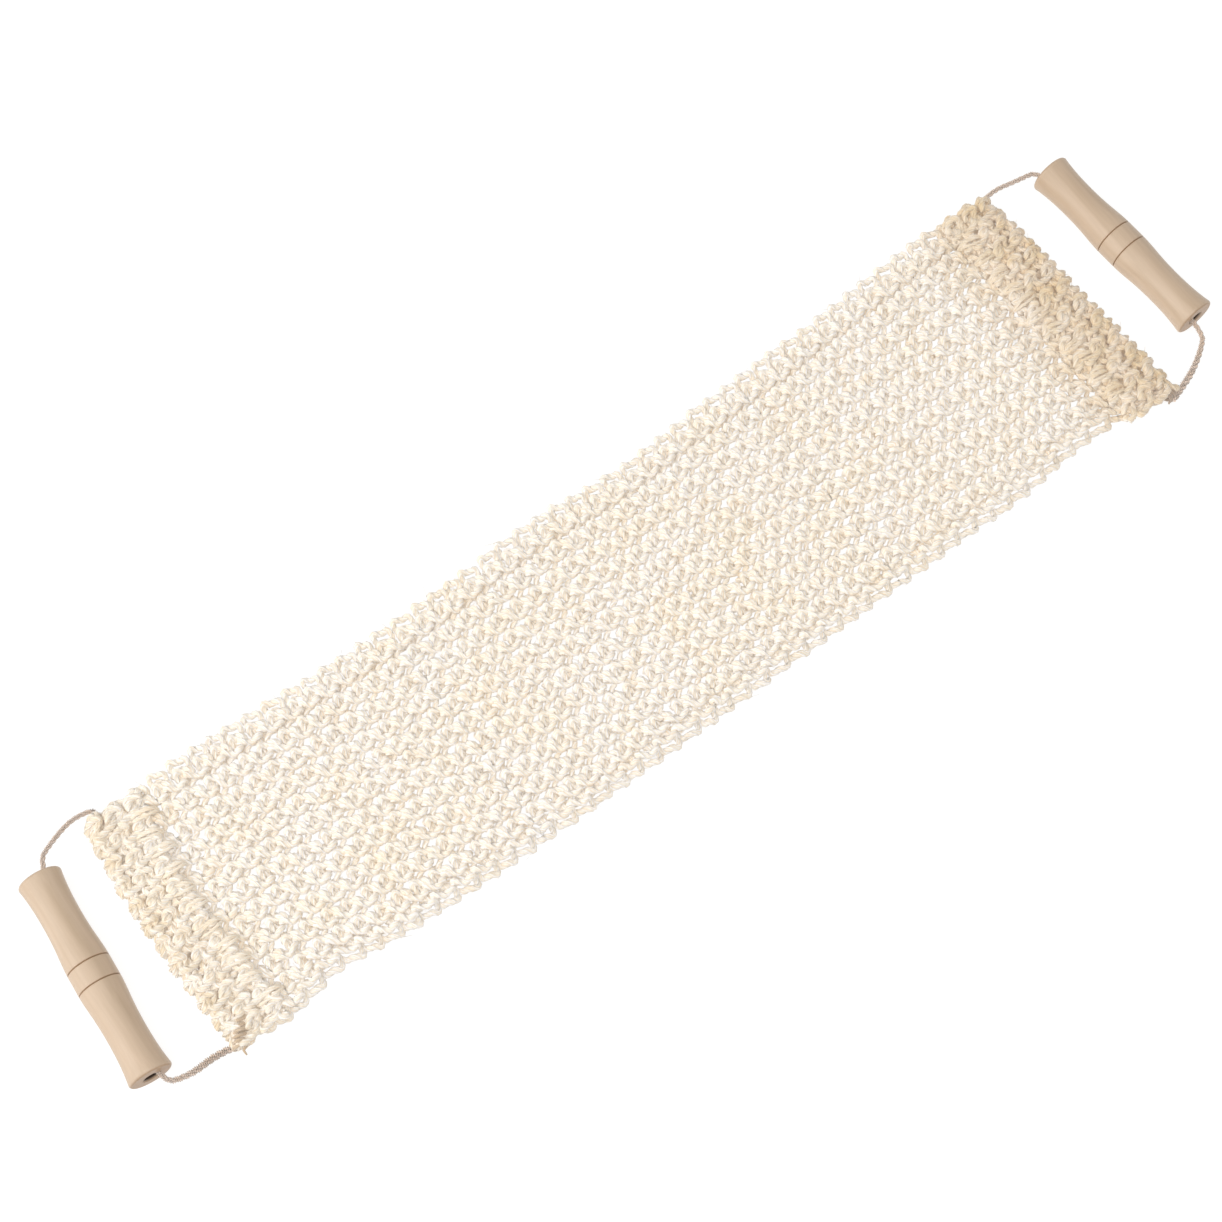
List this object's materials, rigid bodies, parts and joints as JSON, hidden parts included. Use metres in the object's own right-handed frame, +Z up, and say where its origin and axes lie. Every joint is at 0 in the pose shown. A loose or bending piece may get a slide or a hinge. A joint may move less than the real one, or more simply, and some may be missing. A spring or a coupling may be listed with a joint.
{
  "type": "back scrubber",
  "caption": "Long knitted plant-fibre scrubbing strap with folded hems and a turned wooden handle on a cord loop at each end.",
  "frame": {"origin": "middle of the object's footprint, on the surface that it lies on", "axes": "+X along the strap towards the wider hem, +Y across the strap, +Z up out of the surface it lies on"},
  "size_m": [0.6894, 0.158, 0.0228],
  "materials": {
    "knit_yarn": "matte",
    "sewing_yarn": "matte",
    "binding_yarn": "matte",
    "cord_fibre": "matte",
    "handle_wood": "satin"
  },
  "bodies": {
    "strap_centre": {"strap_centre": "knit_yarn"},
    "strap_left_inner": {"strap_left_inner": "knit_yarn"},
    "strap_left_outer": {"strap_left_outer": "knit_yarn", "hem_left": "knit_yarn", "hem_stitches_left": "sewing_yarn"},
    "strap_right_inner": {"strap_right_inner": "knit_yarn"},
    "strap_right_outer": {"strap_right_outer": "knit_yarn", "hem_right": "knit_yarn", "hem_stitches_right": "sewing_yarn"},
    "loop_left": {"cord_left": "cord_fibre", "cord_binding_left": "binding_yarn"},
    "loop_right": {"cord_right": "cord_fibre", "cord_binding_right": "binding_yarn"},
    "grip_left": {"handle_left": "handle_wood"},
    "grip_right": {"handle_right": "handle_wood"}
  },
  "joints": [
    {"name": "bend_left_inner", "type": "hinge", "parent": "strap_centre", "child": "strap_left_inner", "pos_m": [-0.059, 0, 0.003], "axis": [0, 1, 0], "range_deg": [-60, 60]},
    {"name": "bend_left_outer", "type": "hinge", "parent": "strap_left_inner", "child": "strap_left_outer", "pos_m": [-0.177, 0, 0.003], "axis": [0, 1, 0], "range_deg": [-60, 60]},
    {"name": "bend_right_inner", "type": "hinge", "parent": "strap_centre", "child": "strap_right_inner", "pos_m": [0.059, 0, 0.003], "axis": [0, -1, 0], "range_deg": [-60, 60]},
    {"name": "bend_right_outer", "type": "hinge", "parent": "strap_right_inner", "child": "strap_right_outer", "pos_m": [0.177, 0, 0.003], "axis": [0, -1, 0], "range_deg": [-60, 60]},
    {"name": "loop_swing_left", "type": "hinge", "parent": "strap_left_outer", "child": "loop_left", "pos_m": [-0.285, -0.0064, 0.005], "axis": [0.0593, 0.9982, 0], "range_deg": [-150, 140]},
    {"name": "loop_swing_right", "type": "hinge", "parent": "strap_right_outer", "child": "loop_right", "pos_m": [0.287, 0.0086, 0.005], "axis": [0.0593, -0.9982, 0], "range_deg": [-150, 140]},
    {"name": "grip_spin_left", "type": "hinge", "parent": "loop_left", "child": "grip_left", "pos_m": [-0.33, -0.0064, 0.0114], "axis": [0.0593, 0.9982, 0], "continuous": true},
    {"name": "grip_spin_right", "type": "hinge", "parent": "loop_right", "child": "grip_right", "pos_m": [0.33, 0.0086, 0.0114], "axis": [-0.0593, 0.9982, 0], "continuous": true}
  ]
}
